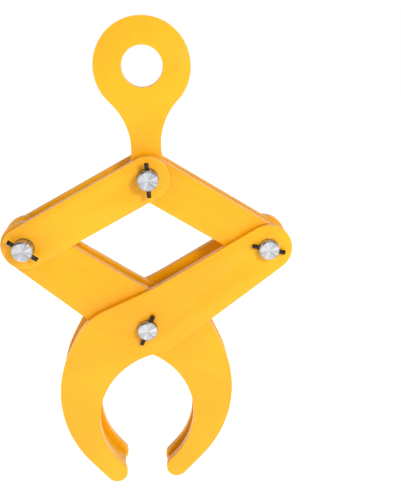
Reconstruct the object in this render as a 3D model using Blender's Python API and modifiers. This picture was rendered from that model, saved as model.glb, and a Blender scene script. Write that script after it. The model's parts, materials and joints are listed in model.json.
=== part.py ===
"""Scissor lifting grab for round stock.

A lifting eye hangs from the crane hook. Two links and two claw arms, each a pair of plates, make a
four-bar kite below it, on four cross pins that spring pins hold. The load's weight on the eye closes
the claws. +Z is up and -Y is the front, where the spring pins are. The origin is the centre of the
eye's hole. All lengths are in metres.
"""

import bpy
from math import asin, atan2, ceil, cos, hypot, pi, radians, sin
from mathutils import Vector

# Plates, front to back: outer, inner, eye, inner, outer. Touching faces keep a gap.
GAP = 0.0003
PLATE = 0.009
EYE_PLATE = 0.015
INNER_Y = EYE_PLATE / 2 + GAP + PLATE / 2
OUTER_Y = INNER_Y + PLATE + GAP
OUTER_FACE = OUTER_Y + PLATE / 2

# The kite, measured from the top pin: half its width, and the heights of its two halves.
HALF_WIDTH = 0.1325
LINK_DROP = 0.077
ARM_DROP = 0.095

# The eye leans to the left on the top pin.
EYE_LEAN = radians(3)
EYE_TO_PIN = 0.114
EYE_R = 0.0505
EYE_HOLE_R = 0.0217
NECK_HALF = 0.016
NECK_HOLLOW_R = 0.068
EYE_FOOT_R = 0.021

LINK_R = 0.0235
ARM_END_R = 0.0265

# Cross pins, with a head at the back and a chamfered end in front.
PIN_R = 0.011
PIN_CHAMFER = 0.0015
PIN_HEAD_R = 0.0165
PIN_HEAD = 0.0055
PIN_SHANK = 0.066
PIN_FLOAT = 0.0055
BORE_R = PIN_R + GAP
# The centre pin belongs to the right arm. The left arm's holes leave room for the path that it takes.
PATH_ROOM = 0.0024
OPEN_BORE_R = BORE_R + PATH_ROOM
BUSH_R = 0.015

# Slotted spring pins, each through a cross hole near a cross pin's end.
CROSS_HOLE_FROM_END = 0.005
CROSS_HOLE_R = 0.0027
DRILL_DEPTH = 3 * PIN_R
SPRING_R = CROSS_HOLE_R - GAP
SPRING_WALL = 0.001
SPRING_LENGTH = 0.037
SLOT_HALF = radians(15)
SLOT_TURN = radians(60)

# Jaw pads: curved blocks between a claw's plates, set back from the plates' edge.
PAD_RECESS = 0.006
PAD_THICK = 0.008
PAD_START = radians(196)
PAD_END = radians(232)

# Claw arm outline, in x and z from the top pin: circles that the edge wraps, each with its radius.
# A hollow, which the edge passes on its inner side, has a negative radius.
JAW = (0.0305, -0.2855, -0.0855)
ARM_HOLLOW = (-0.093, 0.062, -0.2105)
SHOULDER = (-0.0215, -0.2075, 0.063)
CLAW_BACK = (0.0345, -0.2545, 0.134)
NOSE = (-0.036, -0.3585, 0.0125)
HEEL = (0.019, -0.1845, 0.0142)

# How finely round edges are cut: the longest chord, and the steps in a full turn.
CHORD = 0.005
FACETS = 32
MERGE = 0.00001

YELLOW = (0.90, 0.42, 0.02)
STEEL = (0.62, 0.63, 0.65)
DARK_STEEL = (0.07, 0.065, 0.06)

TOP = Vector((EYE_TO_PIN * sin(EYE_LEAN), 0, -EYE_TO_PIN * cos(EYE_LEAN)))
LEFT = TOP + Vector((-HALF_WIDTH, 0, -LINK_DROP))
RIGHT = TOP + Vector((HALF_WIDTH, 0, -LINK_DROP))
CENTRE = TOP + Vector((0, 0, -LINK_DROP - ARM_DROP))


def clear_scene():
    for obj in list(bpy.data.objects):
        bpy.data.objects.remove(obj, do_unlink=True)


def new_collection(name):
    collection = bpy.data.collections.new(name)
    bpy.context.scene.collection.children.link(collection)
    return collection


def new_material(name, colour, roughness, metallic):
    material = bpy.data.materials.new(name)
    material.use_nodes = True
    shader = material.node_tree.nodes["Principled BSDF"]
    shader.inputs["Base Color"].default_value = (*colour, 1)
    shader.inputs["Roughness"].default_value = roughness
    shader.inputs["Metallic"].default_value = metallic
    return material


def arc_steps(turn, r):
    """How many straight steps stand for an arc."""
    return max(1, ceil(abs(turn * r) / CHORD), ceil(abs(turn) / (2 * pi / FACETS)))


def belt(circles):
    """The closed outline that a belt takes round the circles (x, z, radius), anticlockwise."""
    count = len(circles)
    headings = []
    for i, (x, z, r) in enumerate(circles):
        x2, z2, r2 = circles[(i + 1) % count]
        lift = asin((r2 - r) / hypot(x2 - x, z2 - z))
        headings.append(atan2(z2 - z, x2 - x) - lift)
    points = []
    for i, (x, z, r) in enumerate(circles):
        turn = (headings[i] - headings[i - 1]) % (2 * pi)
        if r < 0:
            turn -= 2 * pi
        steps = arc_steps(turn, r)
        for step in range(steps + 1):
            heading = headings[i - 1] + turn * step / steps
            points.append((x + r * sin(heading), z - r * cos(heading)))
    return points


def ring(x, z, r):
    """A round hole's outline."""
    return [(x + r * cos(2 * pi * i / FACETS), z + r * sin(2 * pi * i / FACETS)) for i in range(FACETS)]


def mirrored(circles):
    return [(-x, z, r) for x, z, r in reversed(circles)]


def band(centre_x, centre_z, inner_r, outer_r, start, end):
    """A curved strip's outline, between two arcs."""
    steps = arc_steps(end - start, outer_r)
    angles = [start + (end - start) * i / steps for i in range(steps + 1)]
    outer = [(centre_x + outer_r * cos(a), centre_z + outer_r * sin(a)) for a in angles]
    inner = [(centre_x + inner_r * cos(a), centre_z + inner_r * sin(a)) for a in reversed(angles)]
    return outer + inner


def add_outline(name, outlines, depth, material):
    """A flat outline and its holes, extruded along its local Z."""
    curve = bpy.data.curves.new(name, "CURVE")
    curve.dimensions = "2D"
    curve.fill_mode = "BOTH"
    curve.extrude = depth / 2
    curve.resolution_u = 1
    for outline in outlines:
        spline = curve.splines.new("POLY")
        spline.points.add(len(outline) - 1)
        for point, (x, z) in zip(spline.points, outline):
            point.co = (x, z, 0, 1)
        spline.use_cyclic_u = True
    curve.materials.append(material)
    body = bpy.data.objects.new(name, curve)
    parts.objects.link(body)
    return body


def add_plate(name, outlines, pivot, y, thickness, material, lean=0.0):
    """A flat plate in the XZ plane: its outline, then its holes, in x and z from the pivot."""
    plate = add_outline(name, outlines, thickness, material)
    plate.location = pivot + Vector((0, y, 0))
    plate.rotation_euler = (pi / 2, lean, 0)


def moved(outline, dx, dz):
    return [(x + dx, z + dz) for x, z in outline]


def add_pair(name, outline, holes, pivot, y):
    """Front and back plates. The outline and the holes (x, z, radius) are measured from the top pin."""
    offset = TOP - pivot
    rings = [ring(*hole) for hole in holes]
    outlines = [moved(line, offset.x, offset.z) for line in [outline, *rings]]
    add_plate(name + "_front", outlines, pivot, -y, PLATE, paint)
    add_plate(name + "_back", outlines, pivot, y, PLATE, paint)


def add_turned(name, profile, material):
    """A body turned about Z from a profile of (radius, z), top to bottom on its outer side."""
    mesh = bpy.data.meshes.new(name)
    edges = [(i, i + 1) for i in range(len(profile) - 1)]
    mesh.from_pydata([(r, 0, z) for r, z in profile], edges, [])
    mesh.materials.append(material)
    body = bpy.data.objects.new(name, mesh)
    screw = body.modifiers.new("turn", "SCREW")
    screw.steps = FACETS
    screw.render_steps = FACETS
    screw.use_merge_vertices = True
    screw.merge_threshold = MERGE
    screw.use_smooth_shade = True
    parts.objects.link(body)
    return body


def add_cutter(name, radius, depth, location, angle):
    """A round drill that lies in the XZ plane, at an angle from +X."""
    bpy.ops.mesh.primitive_cylinder_add(vertices=FACETS // 2, radius=radius, depth=depth)
    cutter = bpy.context.object
    cutter.name = name
    cutter.location = location
    cutter.rotation_euler = (0, pi / 2 - angle, 0)
    cutter.hide_render = True
    cutter.display_type = "WIRE"
    for collection in list(cutter.users_collection):
        collection.objects.unlink(cutter)
    cutters.objects.link(cutter)
    return cutter


def add_spring_pin(name, location, angle):
    """A rolled tube with a slot along it, which lies in the XZ plane at an angle from +X."""
    start = SLOT_TURN + SLOT_HALF
    end = SLOT_TURN - SLOT_HALF + 2 * pi
    section = band(0, 0, SPRING_R - SPRING_WALL, SPRING_R, start, end)
    pin = add_outline(name, [section], SPRING_LENGTH, dark_steel)
    pin.location = location
    pin.rotation_euler = (0, pi / 2 - angle, 0)


def add_cross_pin(place, centre, spring_angle, forward):
    """A headed pin and its spring pin. A pin that has slid forward has its head against the plate."""
    slide = 0 if forward else PIN_FLOAT
    head_face = OUTER_FACE + GAP + slide
    tip_r = PIN_R - PIN_CHAMFER
    profile = [
        (0, PIN_HEAD),
        (PIN_HEAD_R - PIN_CHAMFER, PIN_HEAD),
        (PIN_HEAD_R, PIN_HEAD - PIN_CHAMFER),
        (PIN_HEAD_R, 0),
        (PIN_R, 0),
        (PIN_R, -PIN_SHANK + PIN_CHAMFER),
        (tip_r, -PIN_SHANK),
        (0, -PIN_SHANK),
    ]
    pin = add_turned(place + "_pin", profile, steel)
    pin.rotation_euler = (-pi / 2, 0, 0)
    pin.location = centre + Vector((0, head_face, 0))
    hole_centre = centre + Vector((0, head_face - PIN_SHANK + CROSS_HOLE_FROM_END, 0))
    drill = add_cutter(place + "_pin_drill", CROSS_HOLE_R, DRILL_DEPTH, hole_centre, spring_angle)
    cut = pin.modifiers.new("cross hole", "BOOLEAN")
    cut.operation = "DIFFERENCE"
    cut.solver = "EXACT"
    cut.object = drill
    add_spring_pin(place + "_spring_pin", hole_centre, spring_angle)


def add_bush(place, centre):
    """A tube that keeps the inner plates apart on a pin."""
    half = EYE_PLATE / 2
    profile = [(BUSH_R, half), (BUSH_R, -half), (BORE_R, -half), (BORE_R, half), (BUSH_R, half)]
    bush = add_turned(place + "_bush", profile, paint)
    bush.rotation_euler = (-pi / 2, 0, 0)
    bush.location = centre


def add_eye():
    hollow_x = NECK_HALF + NECK_HOLLOW_R
    hollow_drop = ((EYE_R + NECK_HOLLOW_R) ** 2 - hollow_x**2) ** 0.5
    hollow_z = EYE_TO_PIN - hollow_drop
    circles = [
        (0, 0, EYE_FOOT_R),
        (hollow_x, hollow_z, -NECK_HOLLOW_R),
        (0, EYE_TO_PIN, EYE_R),
        (-hollow_x, hollow_z, -NECK_HOLLOW_R),
    ]
    outlines = [belt(circles), ring(0, EYE_TO_PIN, EYE_HOLE_R), ring(0, 0, BORE_R)]
    add_plate("lifting_eye", outlines, TOP, 0, EYE_PLATE, paint, lean=-EYE_LEAN)


def add_links():
    left = [(0, 0, LINK_R), (-HALF_WIDTH, -LINK_DROP, LINK_R)]
    holes = [(0, 0, BORE_R), (-HALF_WIDTH, -LINK_DROP, BORE_R)]
    add_pair("left_link", belt(left), holes, TOP, OUTER_Y)
    add_pair("right_link", belt(mirrored(left)), mirrored(holes), TOP, INNER_Y)


def add_arms():
    """The right arm runs from the right pin over the centre pin to the left claw, outside the left arm."""
    right = [(HALF_WIDTH, -LINK_DROP, ARM_END_R), ARM_HOLLOW, SHOULDER, CLAW_BACK, NOSE, JAW, HEEL]
    centre_z = -LINK_DROP - ARM_DROP
    right_holes = [(HALF_WIDTH, -LINK_DROP, BORE_R), (0, centre_z, BORE_R)]
    left_holes = [(-HALF_WIDTH, -LINK_DROP, BORE_R), (0, centre_z, OPEN_BORE_R)]
    add_pair("right_arm", belt(right), right_holes, RIGHT, OUTER_Y)
    add_pair("left_arm", belt(mirrored(right)), left_holes, LEFT, INNER_Y)


def add_jaw_pads():
    jaw_x, jaw_z, jaw_r = JAW
    surface_r = PAD_RECESS - jaw_r
    pad = band(jaw_x, jaw_z, surface_r, surface_r + PAD_THICK, PAD_START, PAD_END)
    other = [(-x, z) for x, z in reversed(pad)]
    outer_width = 2 * (OUTER_Y - PLATE / 2 - GAP)
    to_right = TOP - RIGHT
    to_left = TOP - LEFT
    right_line = [moved(pad, to_right.x, to_right.z)]
    left_line = [moved(other, to_left.x, to_left.z)]
    add_plate("right_arm_jaw_pad", right_line, RIGHT, 0, outer_width, paint)
    add_plate("left_arm_jaw_pad", left_line, LEFT, 0, EYE_PLATE, paint)


clear_scene()
parts = new_collection("lifting_grab")
cutters = new_collection("cutters")
paint = new_material("yellow_paint", YELLOW, roughness=0.32, metallic=0.0)
steel = new_material("bright_steel", STEEL, roughness=0.28, metallic=1.0)
dark_steel = new_material("dark_steel", DARK_STEEL, roughness=0.45, metallic=1.0)

add_eye()
add_links()
add_arms()
add_jaw_pads()
add_cross_pin("top", TOP, radians(95), forward=True)
add_cross_pin("left", LEFT, radians(147), forward=True)
add_cross_pin("right", RIGHT, radians(168), forward=False)
add_cross_pin("centre", CENTRE, radians(70), forward=False)
for bush_place, bush_centre in (("left", LEFT), ("right", RIGHT), ("centre", CENTRE)):
    add_bush(bush_place, bush_centre)
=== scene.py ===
"""Looks of the scissor lifting grab: enamelled plates, turned pins, spring pins and weld beads.

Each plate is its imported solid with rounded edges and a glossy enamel. All lengths are in metres.
"""

import json
from math import cos, pi, radians, sin

import bmesh
import bpy
from mathutils import Matrix, Vector, noise


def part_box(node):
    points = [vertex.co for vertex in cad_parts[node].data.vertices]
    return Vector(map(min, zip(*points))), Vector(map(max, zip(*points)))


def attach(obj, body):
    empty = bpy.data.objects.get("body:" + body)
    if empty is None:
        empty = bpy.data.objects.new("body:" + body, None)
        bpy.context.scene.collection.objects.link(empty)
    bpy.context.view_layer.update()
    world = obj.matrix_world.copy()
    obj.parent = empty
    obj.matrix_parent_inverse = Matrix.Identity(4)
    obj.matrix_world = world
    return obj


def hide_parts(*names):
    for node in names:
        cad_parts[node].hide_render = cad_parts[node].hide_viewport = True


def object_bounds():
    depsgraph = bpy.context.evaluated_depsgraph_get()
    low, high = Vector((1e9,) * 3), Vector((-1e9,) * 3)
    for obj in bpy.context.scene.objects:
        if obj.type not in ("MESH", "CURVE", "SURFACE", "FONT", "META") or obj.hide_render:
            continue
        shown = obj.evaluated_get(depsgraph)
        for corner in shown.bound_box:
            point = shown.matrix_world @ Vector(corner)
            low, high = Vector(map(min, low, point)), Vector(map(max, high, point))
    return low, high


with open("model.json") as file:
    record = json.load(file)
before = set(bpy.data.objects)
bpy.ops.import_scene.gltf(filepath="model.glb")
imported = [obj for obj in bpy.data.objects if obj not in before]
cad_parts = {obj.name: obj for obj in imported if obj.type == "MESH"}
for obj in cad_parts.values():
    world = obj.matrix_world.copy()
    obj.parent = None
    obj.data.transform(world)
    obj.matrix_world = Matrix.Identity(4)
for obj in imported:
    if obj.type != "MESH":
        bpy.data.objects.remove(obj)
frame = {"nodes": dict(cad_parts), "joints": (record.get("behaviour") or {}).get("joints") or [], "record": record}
cad_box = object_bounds()

# The camera stands in front of the top pin, level with the eye, and looks slightly down and to the right.
CAMERA_FROM_PIN = Vector((-0.00275, -0.7751, 0.1592))
CAMERA_PAN = radians(4.603)
CAMERA_PITCH = radians(17.559)
CAMERA_ROLL = radians(1.35)
LENS = 51.98

# Rounded edges: the plates' cut edges, and the small turned and rolled pieces.
PLATE_EDGE = 0.0008
SMALL_EDGE = 0.0003
EDGE_STEPS = 3
SHARP = radians(40)
WELD = 0.00001
FLAT = radians(0.5)

# Cross pins, as in the solids.
PIN_R = 0.011
PIN_HEAD = 0.0055
PIN_CHAMFER = 0.0015
CROSS_HOLE_R = 0.0027
CROSS_HOLE_FROM_END = 0.005
SPRING_ANGLES = {"top": radians(95), "left": radians(147), "right": radians(168), "centre": radians(70)}
ROUND_STEPS = 96
FLAT_END = 0.9
CORNER_STEPS = 4
HEAD_CORNER = 0.001
CENTRE_MARK_R = 0.0016
CENTRE_MARK_DEPTH = 0.0007
PIN_SHARP = radians(30)
DRILL_STEPS = 32
DRILL_DEPTH = 4 * PIN_R

# Jaw pads: the circle that they follow, from the top pin, for the claw on the left.
JAW = Vector((0.0305, 0, -0.2855))
PAD_OUTER_R = 0.0995
PAD_START = radians(196)
PAD_END = radians(232)
BEAD_R = 0.0032
BEAD_STEPS = 140
BEAD_SIDES = 14
BEAD_SUNK = 0.0004
RIPPLE = 0.0022
RIPPLE_DEPTH = 0.12

# Floor and studio.
FLOOR_DROP = 0.16
FLOOR_HALF = 6.0
FLOOR_GLOW = 0.88
WALL_TOP = 0.36
CEILING_EDGE = 0.62
CEILING = 0.05
KEY_OFFSET = Vector((0.75, -1.1, 0.75))
KEY_SIZE = (0.35, 0.35)
KEY_POWER = 13.5
KEY_COLOUR = (1.0, 0.98, 0.95)
TOP_OFFSET = Vector((0.1, -0.1, 1.3))
TOP_SIZE = (1.0, 1.0)
TOP_POWER = 2.5
TOP_COLOUR = (1, 1, 1)

body_of_node = {n: body for body, nodes in frame["record"]["behaviour"]["bodies"].items() for n in nodes}
top_pin = Vector(next(j["pos_m"] for j in frame["joints"] if j["name"] == "fold"))


# Shader building blocks.


def new_material(name):
    material = bpy.data.materials.new(name)
    material.use_nodes = True
    tree = material.node_tree
    return material, tree, tree.nodes["Principled BSDF"]


def add_node(tree, kind, settings=None, **values):
    """A shader node. Settings are its own properties, values its input sockets by name."""
    node = tree.nodes.new("ShaderNode" + kind)
    for key, value in (settings or {}).items():
        setattr(node, key, value)
    for key, value in values.items():
        node.inputs[key.replace("_", " ")].default_value = value
    return node


def noise_of(tree, coords, scale, detail=2.0, roughness=0.5):
    node = add_node(tree, "TexNoise", Scale=scale, Detail=detail, Roughness=roughness)
    tree.links.new(coords, node.inputs["Vector"])
    return node.outputs["Fac"]


def ranged(tree, value, low, high, to_low, to_high):
    """A value stretched from one range to another, and held at its ends."""
    node = add_node(tree, "MapRange")
    for name, number in (("From Min", low), ("From Max", high), ("To Min", to_low), ("To Max", to_high)):
        node.inputs[name].default_value = number
    tree.links.new(value, node.inputs["Value"])
    return node.outputs["Result"]


def mixed(tree, factor, a, b):
    """A colour between a and b, each a colour or an output."""
    node = add_node(tree, "Mix", {"data_type": "RGBA"})
    tree.links.new(factor, node.inputs[0])
    for socket, colour in ((node.inputs[6], a), (node.inputs[7], b)):
        if isinstance(colour, bpy.types.NodeSocket):
            tree.links.new(colour, socket)
        else:
            socket.default_value = (*colour, 1)
    return node.outputs[2]


def bumped(tree, shader, layers):
    """Adds bump layers (height output, distance, strength) to the shader, one over another."""
    under = None
    for height, distance, strength in layers:
        bump = add_node(tree, "Bump", Distance=distance, Strength=strength)
        tree.links.new(height, bump.inputs["Height"])
        if under:
            tree.links.new(under, bump.inputs["Normal"])
        under = bump.outputs["Normal"]
    tree.links.new(under, shader.inputs["Normal"])


def object_coords(tree):
    return add_node(tree, "TexCoord").outputs["Object"]


# Materials.

TOOL_MARK = 0.0007
ENAMEL = (0.86, 0.410, 0.003)
ENAMEL_DEEP = (0.81, 0.355, 0.002)
# Paler edge colour: thin paint, and a painted highlight on the edges.
ENAMEL_EDGE_THIN_AND_SHEEN = (0.92, 0.45, 0.12)
ENAMEL_WORN = (0.42, 0.16, 0.012)
SMUDGE = (0.62, 0.31, 0.012)


def enamel(name, edge=False):
    """Glossy enamel: broad dents, orange peel, slow changes of colour. On edges it is thin and worn, and lighter
    as a painted highlight.
    """
    material, tree, shader = new_material(name)
    coords = object_coords(tree)
    slow = noise_of(tree, coords, 9.0, 3.0)
    cloudy = noise_of(tree, coords, 38.0, 4.0, 0.6)
    peel = noise_of(tree, coords, 420.0, 2.0)
    specks = noise_of(tree, coords, 900.0, 3.0, 0.7)
    colour = mixed(tree, ranged(tree, slow, 0.35, 0.65, 0.0, 1.0), ENAMEL_DEEP, ENAMEL)
    if edge:
        worn = noise_of(tree, coords, 130.0, 6.0, 0.75)
        # Edges turn paler: thin paint, and a painted highlight.
        colour = mixed(tree, ranged(tree, cloudy, 0.3, 0.7, 0.0, 1.0), colour, ENAMEL_EDGE_THIN_AND_SHEEN)
        colour = mixed(tree, ranged(tree, worn, 0.60, 0.68, 0.0, 0.8), colour, ENAMEL_WORN)
    else:
        smudges = ranged(tree, cloudy, 0.56, 0.72, 0.0, 0.34)
        colour = mixed(tree, smudges, colour, SMUDGE)
        colour = mixed(tree, ranged(tree, specks, 0.71, 0.76, 0.0, 0.5), colour, ENAMEL_WORN)
    tree.links.new(colour, shader.inputs["Base Color"])
    tree.links.new(ranged(tree, cloudy, 0.3, 0.7, 0.24, 0.38), shader.inputs["Roughness"])
    shader.inputs["Specular IOR Level"].default_value = 0.28
    shader.inputs["Coat Weight"].default_value = 0.10
    shader.inputs["Coat Roughness"].default_value = 0.18
    bumped(tree, shader, [(slow, 0.004, 0.25), (cloudy, 0.0006, 0.3), (peel, 0.00008, 0.35)])
    return material


def turned_steel(name):
    """A lathe-faced end: rings of tool marks, and radial bands of painted reflection across them."""
    material, tree, shader = new_material(name)
    coords = object_coords(tree)
    across = add_node(tree, "VectorMath", {"operation": "MULTIPLY"})
    across.inputs[1].default_value = (1, 0, 1)
    tree.links.new(coords, across.inputs[0])
    outward = add_node(tree, "VectorMath", {"operation": "NORMALIZE"})
    tree.links.new(across.outputs[0], outward.inputs[0])
    painted_reflection_streaks = noise_of(tree, outward.outputs[0], 1.9, 4.0, 0.7)
    length = add_node(tree, "VectorMath", {"operation": "LENGTH"})
    tree.links.new(across.outputs[0], length.inputs[0])
    turns = add_node(tree, "Math", {"operation": "MULTIPLY"})
    turns.inputs[1].default_value = 2 * pi / TOOL_MARK
    tree.links.new(length.outputs["Value"], turns.inputs[0])
    rings = add_node(tree, "Math", {"operation": "SINE"})
    tree.links.new(turns.outputs[0], rings.inputs[0])
    stain = noise_of(tree, coords, 260.0, 4.0, 0.6)
    # Radial light and dark bands in the colour are painted reflection.
    colour = mixed(tree, ranged(tree, painted_reflection_streaks, 0.34, 0.66, 0.0, 1.0), (0.26, 0.27, 0.29), (0.72, 0.73, 0.76))
    colour = mixed(tree, ranged(tree, stain, 0.55, 0.75, 0.0, 0.35), colour, (0.32, 0.30, 0.28))
    tree.links.new(colour, shader.inputs["Base Color"])
    tree.links.new(ranged(tree, painted_reflection_streaks, 0.3, 0.7, 0.42, 0.26), shader.inputs["Roughness"])
    shader.inputs["Metallic"].default_value = 1.0
    bumped(tree, shader, [(rings.outputs[0], 0.00004, 0.5), (stain, 0.0001, 0.2)])
    return material


def scaled_steel(name, dark, light, roughness):
    """Dark steel with a mottled skin: black oxide on the spring pins, painted shade on the pin shanks."""
    material, tree, shader = new_material(name)
    coords = object_coords(tree)
    mottle = noise_of(tree, coords, 190.0, 5.0, 0.65)
    grain = noise_of(tree, coords, 1400.0, 2.0)
    colour = mixed(tree, ranged(tree, mottle, 0.4, 0.68, 0.0, 1.0), dark, light)
    tree.links.new(colour, shader.inputs["Base Color"])
    low, high = roughness
    tree.links.new(ranged(tree, mottle, 0.3, 0.7, low, high), shader.inputs["Roughness"])
    shader.inputs["Metallic"].default_value = 0.85
    bumped(tree, shader, [(mottle, 0.0002, 0.3), (grain, 0.00004, 0.3)])
    return material


enamel_face = enamel("enamel_face")
# Edge enamel: thin paint, wear chips and a painted highlight.
enamel_edge_wear_and_sheen = enamel("enamel_edge_wear_and_sheen", edge=True)
bright_end = turned_steel("turned_steel")
# The pin shanks are made near black as painted shade of the bores they stand in.
shank_painted_shade = scaled_steel("shank_painted_shade", (0.045, 0.030, 0.022), (0.14, 0.10, 0.075), (0.30, 0.48))
spring_steel = scaled_steel("spring_steel", (0.018, 0.014, 0.012), (0.060, 0.050, 0.042), (0.22, 0.36))


# Pieces.


def add_piece(name, mesh, materials):
    mesh.materials.clear()
    for material in materials:
        mesh.materials.append(material)
    piece = bpy.data.objects.new(name, mesh)
    bpy.context.scene.collection.objects.link(piece)
    return piece


def round_edges(piece, width, edge_material):
    bevel = piece.modifiers.new("rounded edges", "BEVEL")
    bevel.width = width
    bevel.segments = EDGE_STEPS
    bevel.limit_method = "ANGLE"
    bevel.angle_limit = SHARP
    bevel.harden_normals = True
    bevel.material = edge_material


def place(piece, node):
    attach(piece, body_of_node[node])
    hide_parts(node)


def rounded_copy(node, prefix, materials, width):
    """The node's solid as whole flat faces, with its edges rounded."""
    mesh = frame["nodes"][node].data.copy()
    bm = bmesh.new()
    bm.from_mesh(mesh)
    bmesh.ops.remove_doubles(bm, verts=bm.verts, dist=WELD)
    bmesh.ops.dissolve_limit(bm, angle_limit=FLAT, verts=bm.verts, edges=bm.edges)
    for face in bm.faces:
        face.smooth = True
        face.material_index = 0
    bm.to_mesh(mesh)
    bm.free()
    piece = add_piece(prefix + node, mesh, materials)
    round_edges(piece, width, len(materials) - 1)
    place(piece, node)
    return piece


def corner(r, y, radius, quarter):
    """A quarter-round corner of a turned profile, whose arc starts at the angle quarter."""
    angles = [quarter + pi / 2 * i / CORNER_STEPS for i in range(CORNER_STEPS + 1)]
    return [(r + radius * cos(a), y + radius * sin(a)) for a in angles]


def add_cross_pin(place_name):
    """A headed pin with a shank darkened as painted shade, turned bright ends and a cross hole."""
    node = place_name + "_pin"
    low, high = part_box(node)
    middle = (low + high) / 2
    head_r = (high.x - low.x) / 2
    end, back = low.y, high.y
    shoulder = back - PIN_HEAD
    rounded = corner(head_r - HEAD_CORNER, back - HEAD_CORNER, HEAD_CORNER, 0)
    profile = [(0, back), *reversed(rounded), (head_r, shoulder)]
    profile += [(PIN_R, shoulder), (PIN_R, end + PIN_CHAMFER), (PIN_R - PIN_CHAMFER, end)]
    profile += [(CENTRE_MARK_R, end), (0, end + CENTRE_MARK_DEPTH)]
    bm = bmesh.new()
    verts = [bm.verts.new((r, y, 0)) for r, y in profile]
    for a, b in zip(verts, verts[1:]):
        bm.edges.new((a, b))
    geom = bm.verts[:] + bm.edges[:]
    turn = {"cent": (0, 0, 0), "axis": (0, 1, 0), "angle": 2 * pi, "steps": ROUND_STEPS}
    bmesh.ops.spin(bm, geom=geom, use_merge=True, use_duplicate=False, **turn)
    bmesh.ops.remove_doubles(bm, verts=bm.verts, dist=WELD)
    bmesh.ops.recalc_face_normals(bm, faces=bm.faces)
    for face in bm.faces:
        face.smooth = True
        face.material_index = 0 if abs(face.normal.y) > FLAT_END else 1
    mesh = bpy.data.meshes.new(node)
    bm.to_mesh(mesh)
    bm.free()
    pin = add_piece("turned_" + node, mesh, [bright_end, shank_painted_shade])
    pin.location = (middle.x, 0, middle.z)
    mesh.set_sharp_from_angle(angle=PIN_SHARP)
    bpy.ops.mesh.primitive_cylinder_add(vertices=DRILL_STEPS, radius=CROSS_HOLE_R, depth=DRILL_DEPTH)
    drill = bpy.context.object
    drill.location = (middle.x, end + CROSS_HOLE_FROM_END, middle.z)
    drill.rotation_euler = (0, pi / 2 - SPRING_ANGLES[place_name], 0)
    cut = pin.modifiers.new("cross hole", "BOOLEAN")
    cut.object = drill
    settle(pin)
    bpy.data.objects.remove(drill, do_unlink=True)
    place(pin, node)


def settle(piece):
    """Applies the piece's modifiers to its mesh."""
    bpy.context.view_layer.update()
    graph = bpy.context.evaluated_depsgraph_get()
    mesh = bpy.data.meshes.new_from_object(piece.evaluated_get(graph))
    piece.modifiers.clear()
    piece.data = mesh


def add_bead(name, body, jaw, y, side, start, end):
    """A rippled weld bead in the corner between a jaw pad's back and a claw plate."""
    bm = bmesh.new()
    rows = []
    for i in range(BEAD_STEPS + 1):
        share = i / BEAD_STEPS
        angle = start + (end - start) * share
        travelled = abs(end - start) * PAD_OUTER_R * share
        uneven = noise.noise(Vector((travelled * 260, y * 90, 0)))
        ripple = 1 + RIPPLE_DEPTH * sin(2 * pi * travelled / RIPPLE) + RIPPLE_DEPTH * uneven
        taper = min(1.0, 12 * share + 0.25, 12 * (1 - share) + 0.25)
        r = BEAD_R * ripple * taper
        out = Vector((cos(angle), 0, sin(angle)))
        centre = jaw + out * (PAD_OUTER_R - BEAD_SUNK)
        row = []
        for k in range(BEAD_SIDES):
            turn = 2 * pi * k / BEAD_SIDES
            across = Vector((0, y + r * sin(turn) * side, 0))
            row.append(bm.verts.new(centre + out * r * cos(turn) + across))
        rows.append(row)
    for a, b in zip(rows, rows[1:]):
        for k in range(BEAD_SIDES):
            n = (k + 1) % BEAD_SIDES
            bm.faces.new((a[k], a[n], b[n], b[k]))
    bm.faces.new(rows[0])
    bm.faces.new(rows[-1])
    bmesh.ops.recalc_face_normals(bm, faces=bm.faces)
    for face in bm.faces:
        face.smooth = len(face.verts) == 4
    mesh = bpy.data.meshes.new(name)
    bm.to_mesh(mesh)
    bm.free()
    bead = add_piece(name, mesh, [enamel_face])
    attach(bead, body)


def add_beads(node, jaw, start, end):
    """Both beads of a jaw pad, one against each plate."""
    low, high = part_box(node)
    add_bead(node + "_weld_front", body_of_node[node], jaw, low.y, -1, start, end)
    add_bead(node + "_weld_back", body_of_node[node], jaw, high.y, 1, start, end)


PAINT = [enamel_face, enamel_edge_wear_and_sheen]
PLATES = ["lifting_eye"]
for part in ("left_link", "right_link", "left_arm", "right_arm"):
    PLATES += [part + "_front", part + "_back"]
for node in PLATES + ["left_arm_jaw_pad", "right_arm_jaw_pad", "left_bush", "right_bush", "centre_bush"]:
    rounded_copy(node, "painted_", PAINT, PLATE_EDGE)
for place_name in SPRING_ANGLES:
    add_cross_pin(place_name)
    rounded_copy(place_name + "_spring_pin", "rolled_", [spring_steel], SMALL_EDGE)
jaw_left = top_pin + JAW
jaw_right = top_pin + Vector((-JAW.x, 0, JAW.z))
add_beads("right_arm_jaw_pad", jaw_left, PAD_START + radians(2), PAD_END - radians(4))
add_beads("left_arm_jaw_pad", jaw_right, 3 * pi - PAD_START - radians(2), 3 * pi - PAD_END + radians(4))


# Studio: a pale floor, a soft sky, a key light from the right and a soft top light.


def aim(thing, target):
    thing.rotation_euler = (target - thing.location).to_track_quat("-Z", "Y").to_euler()


def add_light(name, location, target, size, power, colour):
    data = bpy.data.lights.new(name, "AREA")
    data.shape = "RECTANGLE"
    data.size, data.size_y = size
    data.energy = power
    data.color = colour
    light = bpy.data.objects.new(name, data)
    light.location = location
    bpy.context.scene.collection.objects.link(light)
    aim(light, target)


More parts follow.
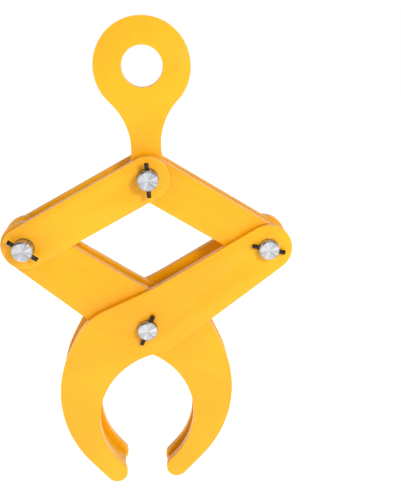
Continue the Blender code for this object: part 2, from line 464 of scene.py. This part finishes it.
def add_floor(height):
    material, tree, shader = new_material("pale_floor")
    shader.inputs["Base Color"].default_value = (0.93, 0.93, 0.93, 1)
    shader.inputs["Roughness"].default_value = 0.9
    shader.inputs["Emission Color"].default_value = (1, 1, 1, 1)
    shader.inputs["Emission Strength"].default_value = FLOOR_GLOW
    bpy.ops.mesh.primitive_plane_add(size=2 * FLOOR_HALF, location=(0, 0, height))
    floor = bpy.context.object
    floor.name = "floor"
    floor.data.materials.append(material)


def add_sky():
    """White walls under a dim ceiling, which leaves the gaps between the plates in shade."""
    world = bpy.data.worlds.new("studio")
    world.use_nodes = True
    tree = world.node_tree
    direction = add_node(tree, "TexCoord").outputs["Generated"]
    split = add_node(tree, "SeparateXYZ")
    tree.links.new(direction, split.inputs[0])
    strength = ranged(tree, split.outputs["Z"], WALL_TOP, CEILING_EDGE, 1.0, CEILING)
    background = tree.nodes["Background"]
    background.inputs["Color"].default_value = (1, 1, 1, 1)
    tree.links.new(strength, background.inputs["Strength"])
    bpy.context.scene.world = world


def add_camera():
    camera = bpy.data.objects.new("camera", bpy.data.cameras.new("camera"))
    camera.data.lens = LENS
    camera.data.clip_start = 0.01
    camera.location = top_pin + CAMERA_FROM_PIN
    ahead = Vector((sin(CAMERA_PAN), cos(CAMERA_PAN), 0))
    forward = ahead * cos(CAMERA_PITCH) - Vector((0, 0, sin(CAMERA_PITCH)))
    level = Vector((cos(CAMERA_PAN), -sin(CAMERA_PAN), 0))
    right = Matrix.Rotation(-CAMERA_ROLL, 3, forward) @ level
    up = right.cross(forward)
    turn = Matrix((right, up, -forward)).transposed()
    camera.rotation_euler = turn.to_euler()
    bpy.context.scene.collection.objects.link(camera)
    bpy.context.scene.camera = camera


middle = (cad_box[0] + cad_box[1]) / 2
add_camera()
add_sky()
add_floor(cad_box[0].z - FLOOR_DROP)
add_light("key", middle + KEY_OFFSET, middle, KEY_SIZE, KEY_POWER, KEY_COLOUR)
add_light("top", middle + TOP_OFFSET, middle, TOP_SIZE, TOP_POWER, TOP_COLOUR)
bpy.context.scene.view_settings.view_transform = "Standard"
